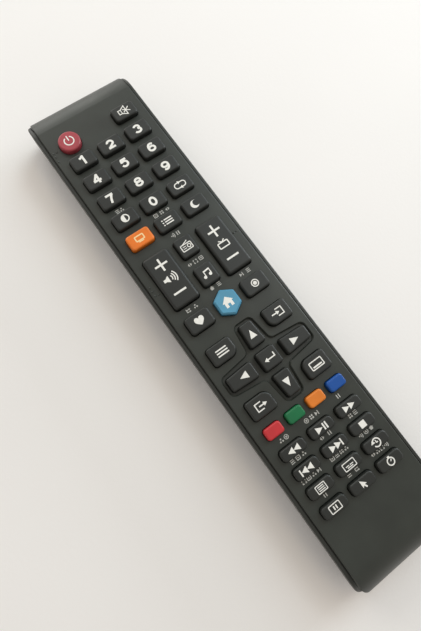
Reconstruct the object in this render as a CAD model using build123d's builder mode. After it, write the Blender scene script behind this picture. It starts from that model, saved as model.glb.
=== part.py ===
"""Long handheld remote control for a television.

Two clipped case halves hold a silicone mat, forty-nine keys, a circuit board with its infrared
emitter, two cells with their contacts, and a battery door that slides off the back.
All sizes are millimetres. X runs across the handset, Y towards the emitter end, Z out of the face.
The origin is on the underside, at the middle of the handset.
"""
from build123d import *
import os
from dataclasses import dataclass
from math import cos, radians, sin

os.makedirs("parts", exist_ok=True)

# Case, outside
case_length = 228.8
case_width = 48.0
face_height = 20.3
far_roll = 11.7
near_roll = 13.0
wall = 1.8
seat_gap = 0.3

# Face plate, the top of the upper half
plate_inset = 1.7
plate_edge_round = 0.5
far_plate_corner = 5.5
near_plate_corner = 7.5
groove_width = 0.5

# Lower half
lower_wall = 1.9
rim_drop = 1.0
rim_round = 0.5
rim_band = 1.0
rim_end_drop = 0.3
rim_far_roll = 11.0
rim_near_roll = 15.5
rim_end_cut = 3.9
far_case_corner = 6.5
near_case_corner = 8.0
side_draft = 4.0
side_heel = 7.65
inner_heel = 6.6
end_heel = 6.7
parting_height = 6.0
seam_gap = 0.15
skirt_wall = 1.4
skirt_foot = 12.0
end_skirt_foot = 8.8
end_skirt_length = 9.0
clip_size = (0.7, 8.0, 1.2)
clip_base = 13.0
clip_stations = (-80.0, -27.0, 27.0, 80.0)
label_recess = (30.0, 70.0, 0.3)
label_place = 30.0

# Key layout
column_pitch = 13.1
first_digit_row = 81.8
digit_row_pitch = 10.24
rocker_column = 12.55
rocker_row = 20.6
small_key_rows = (28.1, 14.3)
home_row = 0.6
cross_row = -25.75
corner_key_offset = 12.1
colour_row = -47.7
colour_pitch = 9.85
media_first_row = -57.05
media_row_pitch = 7.9

# Key sizes
digit_key = (10.3, 6.6, 1.3)
rocker_key = (11.3, 23.6, 1.3)
small_key = (7.7, 8.6, 1.2)
wide_key = (10.6, 7.2, 1.4)
corner_key = (10.6, 7.7, 1.2)
enter_key = (8.1, 7.8, 1.0)
colour_key = (7.3, 4.6, 1.2)
media_key = (10.6, 4.6, 1.5)
power_radius = 4.6
power_key_lift = 0.2
home_half_width = 4.75
home_half_height = 5.7
home_half_side = 2.85
home_corner = 0.9
corner_key_turn = 3.2
arrow_narrow = 5.5
arrow_wide = 6.9
arrow_round = 0.9
upright_arrow_span = (6.3, 16.0)
level_arrow_span = (6.9, 18.4)

# Key motion and section
key_rise = 2.2
key_travel = 0.9
key_gap = 0.3
key_edge_round = 0.7
home_bevel = 0.6
rocker_edge_round = 1.0
flange_margin = 0.6
flange_thickness = 0.8
flange_gap = 0.3
contact_gap = 0.1
mat_clearance = 0.3
plunger_radius = 2.0
pill_radius = 1.5
pill_thickness = 0.5
pill_gap = 0.05
rocker_end_gap = 0.45
rocker_flange_half = 2.6
rocker_plunger_offset = 8.5
rocker_travel = 0.5

# Cross recess round the arrow keys
recess_depth = 1.1
recess_margin = 1.15
recess_taper = 0.12
recess_edge = 0.4
recess_bend = 2.6
recess_corner = 2.0

# Tactile dots on the face: places beside the power key and beside the rockers
dot_radius = 0.6
dot_rise = 0.25
dot_places = (
    (-21.2, 91.9),
    (-19.7, 91.9),
    (-21.2, 90.2),
    (-21.2, 87.7),
    (-21.1, 22.5),
    (-21.1, 20.6),
    (-21.1, 18.6),
    (-19.7, 18.4),
    (19.4, 22.7),
    (20.7, 22.7),
)

# Inside stack
board_thickness = 1.2
mat_thickness = 1.0
board_side_gap = 4.2
board_far_gap = 10.4
board_near_gap = 22.4
mat_far_margin = 3.5
mat_near_margin = 1.5
peg_radius = 1.0
peg_rows = (97.0, 35.0, -7.45, -87.5)
post_radius = 2.5
rib_place = 17.6
rib_thickness = 1.2
rib_span = (-44.0, 98.0)

# Cells and their bay
cell_radius = 5.25
cell_length = 44.5
nub_radius = 1.9
nub_length = 1.0
cell_gap = 0.4
bay_far_end = -52.0
bay_wall = 1.2
contact_thickness = 0.4
contact_width = 6.0
spring_reach = 6.3
tail_width = 1.8
contact_root = 0.35
bridge_half = 9.0
bridge_top = 10.8
leaf_half = 3.5
leaf_open = 1.2
tail_top_gap = 0.1
bay_side_gap = 6.5
guide_gap = 0.4
tail_root = 1.0

# Battery door
door_width = 29.2
door_thickness = 1.6
door_far_end = -50.3
door_gap = 0.25
tongue_reach = 1.2
tongue_thickness = 0.65
door_end_width = 32.2
grip_count = 6
grip_pitch = 1.7
grip_size = (13.0, 0.8, 0.4)
grip_place = -58.0

# Emitter and board parts
emitter_radius = 2.5
emitter_length = 8.6
emitter_height = 9.6
emitter_collar = 2.9
emitter_hole_gap = 0.3
emitter_inset = 0.3
lead_size = 0.5
lead_pitch = 2.54
chip_size = (7.5, 12.8, 2.2)
chip_place = (0.0, 15.0)
chip_leads = 10
chip_lead_pitch = 1.27
resonator_size = (7.4, 3.2, 6.5)
resonator_place = (8.0, 48.0)
capacitor_radius = 3.15
capacitor_length = 8.5
capacitor_place = (-9.0, 60.0)
hole_gap = 0.25
collar_length = 1.0
lead_bend = 2.9
cradle_gap = 6.2
cradle_half = 3.6
chip_standoff = 0.1
chip_lead_arm = 0.8
chip_mark = (1.1, 0.5, 0.1)
lead_metal = 0.25
part_standoff = 0.2
resonator_corner = 0.8
resonator_edge = 0.5
capacitor_edge = 0.3
crimp_place = 1.4
crimp_radius = 0.4
cell_edge = 0.4
rib_root = 0.7
clip_root = 0.4
peg_root = 0.5

# Derived places
half_length = case_length / 2
plate_width = case_width - 2 * plate_inset
half_plate = plate_width / 2
half_case = case_width / 2
underface = face_height - wall
flange_top = underface - flange_gap
flange_base = flange_top - flange_thickness
key_top = face_height + key_rise
mat_top = flange_base - key_travel - mat_clearance
board_top = mat_top - mat_thickness
board_base = board_top - board_thickness
pill_base = board_top + key_travel + contact_gap
rocker_pill_base = board_top + rocker_travel + contact_gap
inner_half = half_case - lower_wall
skirt_half = inner_half - seat_gap
skirt_inner = skirt_half - skirt_wall
rim_top = face_height - rim_drop
band_foot = rim_top - rim_band
tray_end = half_length - rim_end_drop
side_wall_end = tray_end - rim_end_cut
seam_height = parting_height - seam_gap
bay_roof_base = board_base - bay_wall
cell_height = door_thickness + seat_gap + cell_radius
contact_foot = cell_height - leaf_half - contact_root
cell_spacing = 2 * cell_radius + cell_gap
bay_length = cell_length + spring_reach + 2 * contact_thickness + 2 * seat_gap
bay_near_end = bay_far_end - bay_length
guide_inner = cell_spacing / 2 + cell_radius + guide_gap
bay_foot = door_thickness + seat_gap
bay_outer = cell_spacing / 2 + cell_radius + bay_side_gap + bay_wall / 2
bay_inner = bay_outer - bay_wall
bay_y = (bay_near_end - bay_wall, bay_far_end + bay_wall)
far_plate_y = (bay_far_end - contact_thickness, bay_far_end)
near_plate_y = (bay_near_end, bay_near_end + contact_thickness)
tongue_base = door_thickness - tongue_thickness
door_end_place = end_heel - tray_end
clip_z = (clip_base, clip_base + clip_size[2])
board_width = case_width - 2 * board_side_gap
board_far_end = half_length - board_far_gap
board_near_end = board_near_gap - half_length
mat_far_end = board_far_end - mat_far_margin
mat_near_end = board_near_end + mat_near_margin
board_z = (board_base, board_top)
peg_foot = board_base + seat_gap
leg_top = board_top - tail_top_gap
cradle_place = half_length - cradle_gap
emitter_tip = half_length - emitter_inset
emitter_back = emitter_tip - emitter_length
emitter_hole = emitter_radius + emitter_hole_gap
collar_front = emitter_back + collar_length
dome_start = emitter_tip - emitter_radius
lead_row = emitter_back - lead_bend
resonator_legs = [(resonator_place[0] + side * lead_pitch, resonator_place[1]) for side in (-1, 1)]
capacitor_legs = [(capacitor_place[0] + side * lead_pitch / 2, capacitor_place[1]) for side in (-1, 1)]
high_above = 2 * key_top


@dataclass
class Key:
    """A key's name, plan place and outline; turn names the corner with the large radius."""

    name: str
    x: float
    y: float
    width: float
    height: float
    corner: float
    shape: str = "rectangle"
    turn: tuple = (0, 0)


def row_of_keys(names, row, size, places):
    """Rectangular keys of one size side by side in a row."""
    return [Key(name, place, row, *size) for name, place in zip(names, places)]


columns = (-column_pitch, 0.0, column_pitch)


def list_keys():
    """Every push key of the handset, from the emitter end to the near end."""
    top_row = first_digit_row + digit_row_pitch
    power_size = (2 * power_radius, 2 * power_radius, 0)
    found = [Key("power_key", -column_pitch, top_row + power_key_lift, *power_size, "round")]
    found += row_of_keys(["mute_key"], top_row, digit_key, [column_pitch])
    digit_rows = (
        ("digit_1_key", "digit_2_key", "digit_3_key"),
        ("digit_4_key", "digit_5_key", "digit_6_key"),
        ("digit_7_key", "digit_8_key", "digit_9_key"),
        ("picture_key", "digit_0_key", "swap_key"),
        ("screen_key", "guide_key", "sleep_key"),
    )
    for index, names in enumerate(digit_rows):
        found += row_of_keys(names, first_digit_row - index * digit_row_pitch, digit_key, columns)
    for name, row in zip(("radio_key", "audio_key"), small_key_rows):
        found += row_of_keys([name], row, small_key, [0.0])
    found += row_of_keys(("favourite_key", "record_key"), home_row, wide_key, (-column_pitch, column_pitch))
    home_size = (2 * home_half_width, 2 * home_half_height, home_corner)
    found.append(Key("home_key", 0.0, home_row, *home_size, "hexagon"))
    for name, across, along in (
        ("menu_key", -1, 1),
        ("source_key", 1, 1),
        ("exit_key", -1, -1),
        ("display_key", 1, -1),
    ):
        place = (across * column_pitch, cross_row + along * corner_key_offset)
        found.append(Key(name, *place, *corner_key, "turned", (-across, -along)))
    found += row_of_keys(["enter_key"], cross_row, enter_key, [0.0])
    for name, across, along, span in (
        ("up_key", 0, 1, upright_arrow_span),
        ("down_key", 0, -1, upright_arrow_span),
        ("left_key", -1, 0, level_arrow_span),
        ("right_key", 1, 0, level_arrow_span),
    ):
        middle = (span[0] + span[1]) / 2
        length = span[1] - span[0]
        place = (across * middle, cross_row + along * middle)
        found.append(Key(name, *place, arrow_wide, length, arrow_round, "arrow", (across, along)))
    colour_places = [(index - 1.5) * colour_pitch for index in range(4)]
    colour_names = ("red_key", "green_key", "orange_key", "blue_key")
    found += row_of_keys(colour_names, colour_row, colour_key, colour_places)
    media_rows = (
        ("rewind_key", "play_pause_key", "fast_forward_key"),
        ("previous_key", "next_key", "stop_key"),
        ("text_key", "subtitle_key", "time_shift_key"),
        ("freeze_key", "pointer_key", "timer_key"),
    )
    for index, names in enumerate(media_rows):
        found += row_of_keys(names, media_first_row - index * media_row_pitch, media_key, columns)
    return found


def key_outline(key, grow=0.0):
    """A key's plan outline as a sketch in its place, grown by grow all round."""
    with BuildSketch() as outline:
        if key.shape == "round":
            with Locations((key.x, key.y)):
                Circle(key.width / 2 + grow)
        elif key.shape == "hexagon":
            with BuildLine():
                Polyline(
                    *[
                        (key.x + across * home_half_width, key.y + along)
                        for across, along in (
                            (0, home_half_height),
                            (1, home_half_side),
                            (1, -home_half_side),
                            (0, -home_half_height),
                            (-1, -home_half_side),
                            (-1, home_half_side),
                        )
                    ],
                    close=True,
                )
            make_face()
            fillet(outline.vertices(), key.corner)
        elif key.shape == "arrow":
            across, along = key.turn
            half_wide, half_narrow, half_long = key.width / 2, arrow_narrow / 2, key.height / 2
            corners = (
                (half_wide, -half_long),
                (half_narrow, half_long),
                (-half_narrow, half_long),
                (-half_wide, -half_long),
            )
            with BuildLine():
                Polyline(
                    *[
                        (key.x + side * along + out * across, key.y - side * across + out * along)
                        for side, out in corners
                    ],
                    close=True,
                )
            make_face()
            fillet(outline.vertices(), key.corner)
        else:
            with Locations((key.x, key.y)):
                Rectangle(key.width, key.height)
            turned = key.shape == "turned"
            corners = outline.vertices().sort_by(lambda v: v.X * key.turn[0] + v.Y * key.turn[1])
            fillet(corners[:-1] if turned else corners, key.corner)
            if turned:
                corners = outline.vertices().sort_by(lambda v: v.X * key.turn[0] + v.Y * key.turn[1])
                fillet(corners[-1], corner_key_turn)
        if grow and key.shape != "round":
            offset(amount=grow, kind=Kind.ARC)
    return outline.sketch


push_keys = list_keys()
rockers = [
    Key("volume_rocker", -rocker_column, rocker_row, *rocker_key),
    Key("channel_rocker", rocker_column, rocker_row, *rocker_key),
]


def cross_outline():
    """Plan of the shallow cross recess: tapered arms with rounded bends and corners."""
    half_end = arrow_narrow / 2 + recess_margin
    with BuildSketch() as cross:
        with Locations((0, cross_row)):
            for turn, span in ((0, upright_arrow_span), (90, level_arrow_span)):
                reach = span[1] + recess_margin
                half_middle = half_end + recess_taper * reach
                Polygon(
                    (half_end, reach),
                    (-half_end, reach),
                    (-half_middle, 0),
                    (-half_end, -reach),
                    (half_end, -reach),
                    (half_middle, 0),
                    rotation=turn,
                    align=None,
                )
        corners = cross.vertices().sort_by(lambda v: abs(v.X) + abs(v.Y - cross_row))
        fillet(corners[:4], recess_bend)
        corners = cross.vertices().sort_by(lambda v: abs(v.X) + abs(v.Y - cross_row))
        fillet(corners[8:], recess_corner)
    return cross.sketch


def rolled_block(top, end, far_radius, near_radius, half, foot):
    """Solid under a top rolled down at both ends, half wide each way and flat at foot."""
    with BuildSketch(Plane.YZ.offset(-half)) as profile:
        with BuildLine():
            Line((near_radius - end, top), (end - far_radius, top))
            CenterArc((end - far_radius, top - far_radius), far_radius, 90, -90)
            Line((end, top - far_radius), (end, foot))
            Line((end, foot), (-end, foot))
            Line((-end, foot), (-end, top - near_radius))
            CenterArc((near_radius - end, top - near_radius), near_radius, 180, -90)
        make_face()
    with BuildPart() as block:
        extrude(profile.sketch, amount=2 * half)
    return block.part


def face_block(inset, half, foot):
    """Solid under the rolled face moved in by inset."""
    radii = (far_roll - inset, near_roll - inset)
    return rolled_block(face_height - inset, half_length - inset, *radii, half, foot)


def plate_outline(inset):
    """Plan of the face plate moved in by inset, with its own corner radius at each end."""
    with BuildSketch() as outline:
        Rectangle(plate_width - 2 * inset, case_length - 2 * inset)
        fillet(outline.vertices().group_by(Axis.Y)[-1], far_plate_corner - inset)
        fillet(outline.vertices().group_by(Axis.Y)[0], near_plate_corner - inset)
    return outline.sketch


def upright_profile(plane, half, foot, heel, draft=0.0):
    """Walls with rounded lower corners, seen along one axis, open far above the face.

    They stand upright down to the foot of the rim band and lean in by draft degrees below it.
    """
    slope = radians(draft)
    rise = foot + heel
    centre = half - (heel + (band_foot - rise) * sin(slope)) / cos(slope)
    wall_foot = (centre + heel * cos(slope), rise - heel * sin(slope))
    with BuildSketch(plane) as profile:
        with BuildLine():
            Polyline((-half, high_above), (-half, band_foot), (-wall_foot[0], wall_foot[1]))
            CenterArc((-centre, rise), heel, 180 + draft, 90 - draft)
            Line((-centre, foot), (centre, foot))
            CenterArc((centre, rise), heel, 270, 90 - draft)
            Polyline(wall_foot, (half, band_foot), (half, high_above), (-half, high_above))
        make_face()
    return profile.sketch


def tray_block(inset, heel, draft=0.0):
    """The lower half as a tall solid block, moved in by inset, its sides with their own heel and draft."""
    end_view = upright_profile(Plane.XZ.offset(-half_length), half_case - inset, inset, heel, draft)
    side_view = upright_profile(Plane.YZ.offset(-half_case), tray_end - inset, inset, end_heel - inset)
    with BuildPart() as block:
        extrude(side_view, amount=case_width)
        extrude(end_view, amount=case_length, mode=Mode.INTERSECT)
        with BuildSketch(Plane.XY) as plan:
            Rectangle(2 * (half_case - inset), 2 * (tray_end - inset))
            fillet(plan.vertices().group_by(Axis.Y)[-1], far_case_corner - inset)
            fillet(plan.vertices().group_by(Axis.Y)[0], near_case_corner - inset)
        extrude(amount=high_above, mode=Mode.INTERSECT)
    return block.part


def slab(x_span, y_span, z_span, mode=Mode.ADD):
    """A plain box between two values on each axis."""
    with Locations((sum(x_span) / 2, sum(y_span) / 2, sum(z_span) / 2)):
        Box(x_span[1] - x_span[0], y_span[1] - y_span[0], z_span[1] - z_span[0], mode=mode)


def mirrored_slabs(x_span, y_span, z_span, mode=Mode.ADD):
    """The same box on the right and on the left of the middle."""
    slab(x_span, y_span, z_span, mode)
    slab((-x_span[1], -x_span[0]), y_span, z_span, mode)


def pin(places, radius, z_span, mode=Mode.ADD):
    """Upright round pins, or holes, of one radius at several plan places."""
    with Locations([(x, y, sum(z_span) / 2) for x, y in places]):
        Cylinder(radius, z_span[1] - z_span[0], mode=mode)


def hole_outline(key):
    """Opening of a key in the face: its outline and a gap, wider at the ends of a rocker."""
    if key in rockers:
        spread = 2 * (rocker_end_gap - key_gap)
        key = Key(key.name, key.x, key.y, key.width, key.height + spread, key.corner)
    return key_outline(key, key_gap)


def plunger_places(key):
    """Plan places of a key's plungers: one under a push key, one under each end of a rocker."""
    if key in rockers:
        return [(key.x, key.y - rocker_plunger_offset), (key.x, key.y + rocker_plunger_offset)]
    return [(key.x, key.y)]


def sides_of(block, x_span, y_span, z_span):
    """The part of a block that lies in a box and in the mirror image of that box."""
    with BuildPart() as piece:
        mirrored_slabs(x_span, y_span, z_span)
        add(block, mode=Mode.INTERSECT)
    return piece.part


all_keys = push_keys + rockers
peg_places = [(0, row) for row in peg_rows]
full_length = (-half_length, half_length)
skirt_end = side_wall_end + seat_gap
tall = (0, high_above)
side_run = (-side_wall_end, side_wall_end)
under_plate = face_block(wall, half_case, 0)
under_rim = rolled_block(rim_top, tray_end, rim_far_roll, rim_near_roll, half_case, 0)
with BuildPart() as under_seat:
    add(under_plate)
    add(under_rim, mode=Mode.INTERSECT)
plate_step = sides_of(under_seat.part, (skirt_half, half_case), (-skirt_end, skirt_end), tall)
ledge = sides_of(under_seat.part, (0, half_case), side_run, tall)
tray_outside = tray_block(0, side_heel, side_draft)
tray_inside = tray_block(lower_wall, inner_heel)
rolled_plate = face_block(0, half_plate, parting_height)
plate_plan = plate_outline(0)
seat_plan = plate_outline(-groove_width)
hollow_plan = plate_outline(wall)
recess_plan = cross_outline()
key_openings = [hole_outline(key) for key in all_keys]
leg_places = [(x, lead_row) for x in (-lead_pitch / 2, lead_pitch / 2)] + resonator_legs + capacitor_legs
with BuildPart() as tail_slots:
    slot_half = tail_width / 2 + hole_gap
    slot_y = (far_plate_y[0] - hole_gap, far_plate_y[1] + hole_gap)
    for middle in (-cell_spacing / 2, cell_spacing / 2):
        slab((middle - slot_half, middle + slot_half), slot_y, (bay_roof_base, board_top))
with BuildPart() as hollow:
    with BuildSketch(Plane.XY):
        add(hollow_plan)
    extrude(amount=high_above)
    add(sides_of(under_plate, (0, skirt_inner), full_length, tall), mode=Mode.INTERSECT)

# Upper half: face plate rolled down at both ends, skirts that clip into the lower half, and pegs
with BuildPart() as top_shell:
    add(rolled_plate)
    side_faces = top_shell.faces().sort_by(Axis.X)
    side_edges = side_faces[0].edges() + side_faces[-1].edges()
    fillet(side_edges.filter_by(lambda edge: edge.center().Z > parting_height), plate_edge_round)
    with BuildSketch(Plane.XY):
        add(plate_plan)
    extrude(amount=high_above, mode=Mode.INTERSECT)
    add(hollow.part, mode=Mode.SUBTRACT)
    add(plate_step, mode=Mode.SUBTRACT)
    skirt_run = half_length - end_skirt_length
    mirrored_slabs((0, half_plate), (-skirt_run, skirt_run), (0, skirt_foot), Mode.SUBTRACT)
    mirrored_slabs((0, half_plate), (-skirt_end, skirt_end), (0, end_skirt_foot), Mode.SUBTRACT)
    for station in clip_stations:
        clip_y = (station - clip_size[1] / 2, station + clip_size[1] / 2)
        mirrored_slabs((skirt_half - clip_root, skirt_half + clip_size[0]), clip_y, clip_z)
    pin(peg_places, peg_radius, (peg_foot, underface + peg_root))
    with BuildSketch(Plane.XY.offset(face_height - recess_depth)):
        add(recess_plan)
    extrude(amount=high_above, mode=Mode.SUBTRACT)
    with BuildSketch(Plane.XY.offset(face_height)):
        add(recess_plan)
        offset(amount=recess_edge, kind=Kind.ARC)
    extrude(amount=-recess_edge, taper=45, mode=Mode.SUBTRACT)
    with BuildSketch(Plane.XY.offset(board_top)):
        add(key_openings)
    extrude(amount=high_above, mode=Mode.SUBTRACT)
    with Locations((0, half_length, emitter_height)):
        Cylinder(emitter_hole, 2 * end_skirt_length, rotation=(90, 0, 0), mode=Mode.SUBTRACT)
    with Locations([(x, y, face_height + dot_rise - dot_radius) for x, y in dot_places]):
        Sphere(dot_radius)
top_shell.part.label = "top_shell"
export_step(top_shell.part, "parts/top_shell.step")

# Lower half: a tray with a groove for the plate, clip pockets, posts and ribs, and the battery bay
with BuildPart() as plate_seat:
    with BuildSketch(Plane.XY.offset(seam_height)):
        add(seat_plan)
    extrude(amount=high_above)
    add(ledge, mode=Mode.SUBTRACT)
with BuildPart() as bottom_shell:
    add(tray_outside)
    add(under_rim, mode=Mode.INTERSECT)
    rim_edges = bottom_shell.faces().sort_by(Axis.Z)[-1].edges().filter_by(Axis.Y)
    fillet(rim_edges, rim_round)
    add(plate_seat.part, mode=Mode.SUBTRACT)
    add(tray_inside, mode=Mode.SUBTRACT)
    slab((-inner_half, inner_half), side_run, (seam_height, high_above), Mode.SUBTRACT)
    for station in clip_stations:
        pocket_half = clip_size[1] / 2 + seat_gap
        pocket_y = (station - pocket_half, station + pocket_half)
        pocket_x = (inner_half - seat_gap, skirt_half + clip_size[0] + seat_gap)
        mirrored_slabs(pocket_x, pocket_y, (clip_z[0] - seat_gap, clip_z[1] + seat_gap), Mode.SUBTRACT)
    label_x = (-label_recess[0] / 2, label_recess[0] / 2)
    label_y = (label_place - label_recess[1] / 2, label_place + label_recess[1] / 2)
    slab(label_x, label_y, (0, label_recess[2]), Mode.SUBTRACT)
    pin(peg_places[:3], post_radius, (lower_wall / 2, board_base))
    rib_x = (rib_place - rib_thickness / 2, rib_place + rib_thickness / 2)
    mirrored_slabs(rib_x, rib_span, (lower_wall - rib_root, board_base))
    cradle_y = (cradle_place - rib_thickness / 2, cradle_place + rib_thickness / 2)
    slab((-cradle_half, cradle_half), cradle_y, (lower_wall / 2, emitter_height))
    with Locations((0, cradle_place, emitter_height)):
        Cylinder(emitter_hole, 2 * rib_thickness, rotation=(90, 0, 0), mode=Mode.SUBTRACT)
    # Battery bay: roof, side walls down to the floor, end walls and cell guides hanging from the roof
    slab((-bay_outer, bay_outer), bay_y, (bay_roof_base, board_base))
    mirrored_slabs((bay_inner, bay_outer), bay_y, (lower_wall - rib_root, bay_roof_base))
    mirrored_slabs((guide_inner, guide_inner + bay_wall), bay_y, (bay_foot, bay_roof_base))
    for wall_y in ((bay_y[0], bay_near_end), (bay_far_end, bay_y[1])):
        slab((-bay_outer, bay_outer), wall_y, (bay_foot, bay_roof_base))
    add(tail_slots.part, mode=Mode.SUBTRACT)
    # Door opening in the floor, its far and side ledges, and the open end that the door slides out of
    opening_half = door_width / 2 + door_gap
    opening_y = (-half_length, door_far_end + door_gap)
    slab((-opening_half, opening_half), opening_y, (0, lower_wall), Mode.SUBTRACT)
    tongue_half = door_width / 2 + tongue_reach + door_gap
    tongue_y = (-half_length, door_far_end + tongue_reach + door_gap)
    slab((-tongue_half, tongue_half), tongue_y, (tongue_base - door_gap, lower_wall), Mode.SUBTRACT)
    end_half = door_end_width / 2 + door_gap
    end_slot_y = (-half_length, door_end_place + door_gap)
    slab((-end_half, end_half), end_slot_y, (0, parting_height), Mode.SUBTRACT)
bottom_shell.part.label = "bottom_shell"
export_step(bottom_shell.part, "parts/bottom_shell.step")

# Battery door: flat panel with tongues on three sides, an end piece that wraps up, and grip grooves
with BuildPart() as door_end:
    add(tray_outside)
    add(tray_inside, mode=Mode.SUBTRACT)
    end_x = (-door_end_width / 2, door_end_width / 2)
    slab(end_x, (-half_length, door_end_place), (0, seam_height), Mode.INTERSECT)
with BuildPart() as battery_door:
    add(door_end.part)
    slab((-door_width / 2, door_width / 2), (door_end_place, door_far_end), (0, door_thickness))
    tongue_x = door_width / 2 + tongue_reach
    tongue_top = (tongue_base, door_thickness)
    slab((-tongue_x, tongue_x), (door_end_place, door_far_end + tongue_reach), tongue_top)
    for index in range(grip_count):
        middle = grip_place - index * grip_pitch
        groove_y = (middle - grip_size[1] / 2, middle + grip_size[1] / 2)
        slab((-grip_size[0] / 2, grip_size[0] / 2), groove_y, (0, grip_size[2]), Mode.SUBTRACT)
battery_door.part.label = "battery_door"
export_step(battery_door.part, "parts/battery_door.step")

# Silicone mat under the keys: a sheet with an opening under every plunger and every peg
with BuildPart() as keypad_mat:
    slab((-board_width / 2, board_width / 2), (mat_near_end, mat_far_end), (board_top, mat_top))
    plungers = [place for key in all_keys for place in plunger_places(key)]
    pin(plungers, plunger_radius + key_gap, (board_top, mat_top), Mode.SUBTRACT)
    pin(peg_places, peg_radius + hole_gap, (board_top, mat_top), Mode.SUBTRACT)
keypad_mat.part.label = "keypad_mat"
export_step(keypad_mat.part, "parts/keypad_mat.step")

# Circuit board: holes for the pegs, the leads and legs, and slots for the contact tails
with BuildPart() as circuit_board:
    slab((-board_width / 2, board_width / 2), (board_near_end, board_far_end), board_z)
    pin(peg_places, peg_radius + hole_gap, board_z, Mode.SUBTRACT)
    pin(leg_places, lead_size / 2 + hole_gap, board_z, Mode.SUBTRACT)
    add(tail_slots.part, mode=Mode.SUBTRACT)
circuit_board.part.label = "circuit_board"
export_step(circuit_board.part, "parts/circuit_board.step")

# Infrared emitter: domed body along Y with a collar, and two leads bent up through the board
with BuildPart() as infrared_led:
    with BuildSketch(Plane.YZ) as emitter_half:
        with BuildLine():
            Polyline(
                (emitter_tip, emitter_height),
                (emitter_back, emitter_height),
                (emitter_back, emitter_height + emitter_collar),
                (collar_front, emitter_height + emitter_collar),
                (collar_front, emitter_height + emitter_radius),
                (dome_start, emitter_height + emitter_radius),
            )
            CenterArc((dome_start, emitter_height), emitter_radius, 90, -90)
        make_face()
    revolve(axis=Axis((0, 0, emitter_height), (0, 1, 0)))
    lead_z = (emitter_height - lead_size / 2, emitter_height + lead_size / 2)
    for middle in (-lead_pitch / 2, lead_pitch / 2):
        lead_x = (middle - lead_size / 2, middle + lead_size / 2)
        slab(lead_x, (lead_row - lead_size / 2, emitter_back + lead_size), lead_z)
        lead_rise = (lead_row - lead_size / 2, lead_row + lead_size / 2)
        slab(lead_x, lead_rise, (lead_z[0], leg_top))
infrared_led.part.label = "infrared_led"
export_step(infrared_led.part, "parts/infrared_led.step")

# Controller chip under the board: a comb of bent leads on each side of a moulded body
with BuildPart() as controller_chip:
    chip_half = chip_size[0] / 2
    chip_middle = board_base - chip_standoff - chip_size[2] / 2
    lead_run = (chip_leads - 1) * chip_lead_pitch
    comb_y = (chip_place[1] - lead_run / 2 - lead_size / 2, chip_place[1] + lead_run / 2 + lead_size / 2)
    knee = chip_half + chip_lead_arm
    mirrored_slabs((chip_half / 2, knee), comb_y, (chip_middle - lead_metal, chip_middle))
    mirrored_slabs((knee - lead_metal, knee), comb_y, (chip_middle - lead_metal, board_base))
    mirrored_slabs((knee - lead_metal, knee + chip_lead_arm), comb_y, (board_base - lead_metal, board_base))
    for index in range(chip_leads - 1):
        space = comb_y[0] + lead_size + index * chip_lead_pitch
        space_y = (space, space + chip_lead_pitch - lead_size)
        slab((-2 * knee, 2 * knee), space_y, (0, board_base), Mode.SUBTRACT)
    body_z = (chip_middle - chip_size[2] / 2, chip_middle + chip_size[2] / 2)
    body_y = (chip_place[1] - chip_size[1] / 2, chip_place[1] + chip_size[1] / 2)
    slab((-chip_half, chip_half), body_y, body_z)
    mark_place = (-chip_half + chip_mark[0], body_y[1] - chip_mark[0])
    pin([mark_place], chip_mark[1], (0, body_z[0] + chip_mark[2]), Mode.SUBTRACT)
controller_chip.part.label = "controller_chip"
export_step(controller_chip.part, "parts/controller_chip.step")

# Resonator: a rounded upright block on two legs
with BuildPart() as resonator:
    with BuildSketch(Plane.XY.offset(board_base - part_standoff)):
        with Locations(resonator_place):
            RectangleRounded(resonator_size[0], resonator_size[1], resonator_corner)
    extrude(amount=-resonator_size[2])
    fillet(resonator.faces().sort_by(Axis.Z)[0].edges(), resonator_edge)
    pin(resonator_legs, lead_size / 2, (board_base - 2 * part_standoff, leg_top))
resonator.part.label = "resonator"
export_step(resonator.part, "parts/resonator.step")

# Capacitor: a can with a crimp ring near its seal, on two legs
with BuildPart() as capacitor:
    can_z = (board_base - part_standoff - capacitor_length, board_base - part_standoff)
    pin([capacitor_place], capacitor_radius, can_z)
    fillet(capacitor.edges(), capacitor_edge)
    with Locations((*capacitor_place, can_z[1] - crimp_place)):
        Torus(capacitor_radius + crimp_radius / 2, crimp_radius, mode=Mode.SUBTRACT)
    pin(capacitor_legs, lead_size / 2, (can_z[1] - part_standoff, leg_top))
capacitor.part.label = "capacitor"
export_step(capacitor.part, "parts/capacitor.step")

# Battery contacts: two far plates with tails through the board and a near bridge; the foot of each
# cell meets a bowed leaf
with BuildPart() as battery_contacts:
    for middle in (-cell_spacing / 2, cell_spacing / 2):
        plate_x = (middle - contact_width / 2, middle + contact_width / 2)
        slab(plate_x, far_plate_y, (contact_foot, bay_roof_base - hole_gap))
        tail_x = (middle - tail_width / 2, middle + tail_width / 2)
        slab(tail_x, far_plate_y, (bay_roof_base - tail_root, leg_top))
    slab((-bridge_half, bridge_half), near_plate_y, (contact_foot, bridge_top))
    for side, start, way in ((1, far_plate_y[0], -1), (-1, near_plate_y[1], 1)):
        leaf_foot = (start, cell_height - leaf_half)
        leaf_crown = (start + way * (spring_reach - contact_thickness / 2), cell_height)
        leaf_tip = (start + way * leaf_open, cell_height + leaf_half)
        with BuildSketch(Plane.YZ.offset(side * cell_spacing / 2)):
            with BuildLine() as leaf_line:
                ThreePointArc(leaf_foot, leaf_crown, leaf_tip)
            trace(leaf_line.line, contact_thickness)
        extrude(amount=contact_width / 2, both=True)
battery_contacts.part.label = "battery_contacts"
export_step(battery_contacts.part, "parts/battery_contacts.step")

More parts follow.
